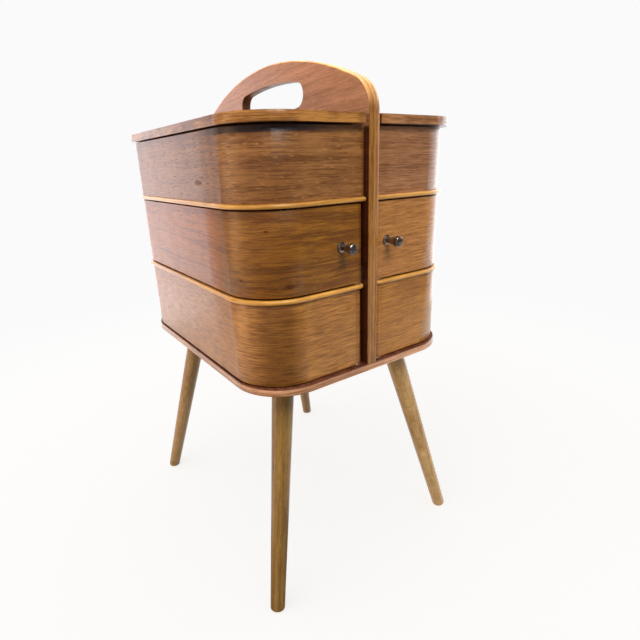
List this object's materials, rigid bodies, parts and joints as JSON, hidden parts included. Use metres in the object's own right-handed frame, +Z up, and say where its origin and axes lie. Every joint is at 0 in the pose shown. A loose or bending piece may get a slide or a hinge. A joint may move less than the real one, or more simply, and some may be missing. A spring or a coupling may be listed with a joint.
{
  "type": "sewing box",
  "caption": "Tiered wooden sewing box on splayed legs, with a handle panel between two lidded trays and swing-out trays below them.",
  "frame": {"origin": "on the floor, under the middle of the box", "axes": "+Z up; the centre panel lies in the Y-Z plane; -Y is the front, where the middle trays' knobs are; -X is the left side"},
  "size_m": [0.3294, 0.43, 0.6639],
  "materials": {
    "walnut": "walnut veneer, horizontal grain, satin lacquer",
    "walnut_dark": "walnut veneer on the centre panel, satin lacquer",
    "edge_veneer": "golden-brown edge veneer and solid posts, satin lacquer",
    "bead": "light golden half-round bead, satin lacquer",
    "beech": "stained beech, satin lacquer",
    "plywood": "pale plywood, unfinished",
    "bronze": "dark bronze, worn rim",
    "steel": "plain steel",
    "hinge_brass": "dull brass"
  },
  "bodies": {
    "frame": {"base_plate": "walnut", "base_edging": "edge_veneer", "centre_panel": "walnut_dark", "panel_edging": "edge_veneer", "panel_screws": "steel", "leg_front_left": "beech", "leg_front_right": "beech", "leg_rear_left": "beech", "leg_rear_right": "beech", "leg_blocks": "plywood", "leg_bolts": "steel", "left_top_shell": "walnut", "left_top_posts": "edge_veneer", "left_top_floor": "plywood", "left_top_bead": "bead", "right_top_shell": "walnut", "right_top_posts": "edge_veneer", "right_top_floor": "plywood", "right_top_bead": "bead", "pivot_brackets": "steel", "side_screws": "steel", "bottom_tray_rods": "steel", "middle_tray_rods": "steel", "pivot_washers": "steel", "hinge_panel_leaves": "hinge_brass", "hinge_pins": "steel"},
    "left_lid": {"left_lid_board": "walnut", "left_lid_edging": "edge_veneer", "left_lid_leaves": "hinge_brass", "left_lid_screws": "steel"},
    "right_lid": {"right_lid_board": "walnut", "right_lid_edging": "edge_veneer", "right_lid_leaves": "hinge_brass", "right_lid_screws": "steel"},
    "left_middle_tray": {"left_middle_shell": "walnut", "left_middle_inner_board": "plywood", "left_middle_posts": "edge_veneer", "left_middle_floor": "plywood", "left_middle_knob": "bronze", "left_middle_knob_screw": "steel"},
    "right_middle_tray": {"right_middle_shell": "walnut", "right_middle_inner_board": "plywood", "right_middle_posts": "edge_veneer", "right_middle_floor": "plywood", "right_middle_knob": "bronze", "right_middle_knob_screw": "steel"},
    "left_bottom_tray": {"left_bottom_shell": "walnut", "left_bottom_inner_board": "plywood", "left_bottom_posts": "edge_veneer", "left_bottom_floor": "plywood", "left_bottom_bead": "bead", "left_bottom_knob": "bronze", "left_bottom_knob_screw": "steel"},
    "right_bottom_tray": {"right_bottom_shell": "walnut", "right_bottom_inner_board": "plywood", "right_bottom_posts": "edge_veneer", "right_bottom_floor": "plywood", "right_bottom_bead": "bead", "right_bottom_knob": "bronze", "right_bottom_knob_screw": "steel"}
  },
  "joints": [
    {"name": "left_lid_hinge", "type": "hinge", "parent": "frame", "child": "left_lid", "pos_m": [-0.0095, 0, 0.5905], "axis": [0, 1, 0], "range_deg": [0, 92]},
    {"name": "right_lid_hinge", "type": "hinge", "parent": "frame", "child": "right_lid", "pos_m": [0.0095, 0, 0.5905], "axis": [0, -1, 0], "range_deg": [0, 92]},
    {"name": "left_middle_tray_pivot", "type": "hinge", "parent": "frame", "child": "left_middle_tray", "pos_m": [-0.017, 0.1875, 0.4511], "axis": [0, 0, -1], "range_deg": [0, 90]},
    {"name": "right_middle_tray_pivot", "type": "hinge", "parent": "frame", "child": "right_middle_tray", "pos_m": [0.017, 0.1875, 0.4511], "axis": [0, 0, 1], "range_deg": [0, 90]},
    {"name": "left_bottom_tray_pivot", "type": "hinge", "parent": "frame", "child": "left_bottom_tray", "pos_m": [-0.017, -0.1875, 0.3534], "axis": [0, 0, 1], "range_deg": [0, 90]},
    {"name": "right_bottom_tray_pivot", "type": "hinge", "parent": "frame", "child": "right_bottom_tray", "pos_m": [0.017, -0.1875, 0.3534], "axis": [0, 0, -1], "range_deg": [0, 90]}
  ]
}
